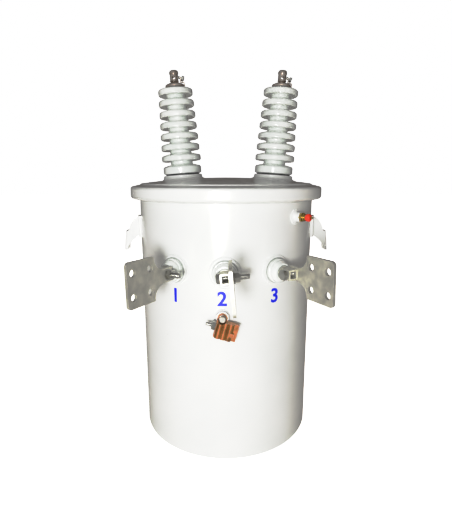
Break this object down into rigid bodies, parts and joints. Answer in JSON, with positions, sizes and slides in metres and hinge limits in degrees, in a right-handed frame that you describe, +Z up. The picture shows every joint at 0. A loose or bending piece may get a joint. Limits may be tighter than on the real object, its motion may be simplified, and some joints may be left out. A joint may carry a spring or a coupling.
{
  "type": "pole mounted transformer",
  "caption": "Round steel tank with a banded domed lid, tall ribbed bushings on top, spade terminals in front, lifting lugs and pole hanger brackets.",
  "frame": {"origin": "centre of the tank's flat underside", "axes": "+Z up along the tank, -Y towards the low-voltage terminals, +Y towards the pole, +X to the right when facing the terminals"},
  "size_m": [0.4918, 0.6192, 0.8576],
  "materials": {
    "tank_enamel": "gloss light grey enamel on steel",
    "band_enamel": "gloss light grey enamel on steel",
    "porcelain": "glazed light grey electrical porcelain",
    "gasket_rubber": "matt black nitrile rubber",
    "tinned_metal": "dull tinned copper alloy",
    "zinc_steel": "bright zinc plated steel",
    "brass": "machined brass",
    "copper": "bright formed copper",
    "red_cap": "red moulded plastic"
  },
  "bodies": {
    "root": {"clamp_band": "band_enamel", "clamp_band_bolt": "zinc_steel", "earth_bolts": "zinc_steel", "earth_connector": "copper", "earth_pad": "tank_enamel", "hanger_lower": "tank_enamel", "hanger_upper": "tank_enamel", "hv_bushing_left": "porcelain", "hv_bushing_right": "porcelain", "hv_cap_left": "tinned_metal", "hv_cap_right": "tinned_metal", "hv_clamp_bolt_left": "zinc_steel", "hv_clamp_bolt_right": "zinc_steel", "hv_clip_left": "tinned_metal", "hv_clip_right": "tinned_metal", "hv_gaskets": "gasket_rubber", "hv_terminal_left": "tinned_metal", "hv_terminal_right": "tinned_metal", "lid": "band_enamel", "lid_gasket": "gasket_rubber", "lifting_lug_left": "tank_enamel", "lifting_lug_right": "tank_enamel", "lv_bushing_centre": "porcelain", "lv_bushing_left": "porcelain", "lv_bushing_right": "porcelain", "lv_clamp_bolt_centre": "zinc_steel", "lv_clamp_bolt_left": "zinc_steel", "lv_clamp_bolt_right": "zinc_steel", "lv_gaskets": "gasket_rubber", "lv_hub_centre": "tinned_metal", "lv_hub_left": "tinned_metal", "lv_hub_right": "tinned_metal", "lv_spade_centre": "tinned_metal", "lv_spade_left": "tinned_metal", "lv_spade_right": "tinned_metal", "lv_stud_centre": "tinned_metal", "lv_stud_left": "tinned_metal", "lv_stud_right": "tinned_metal", "relief_valve_body": "brass", "relief_valve_boss": "tank_enamel", "relief_valve_cap": "red_cap", "relief_valve_pin": "brass", "tank_bottom": "tank_enamel", "tank_rim": "tank_enamel", "tank_wall": "tank_enamel"}
  },
  "joints": []
}
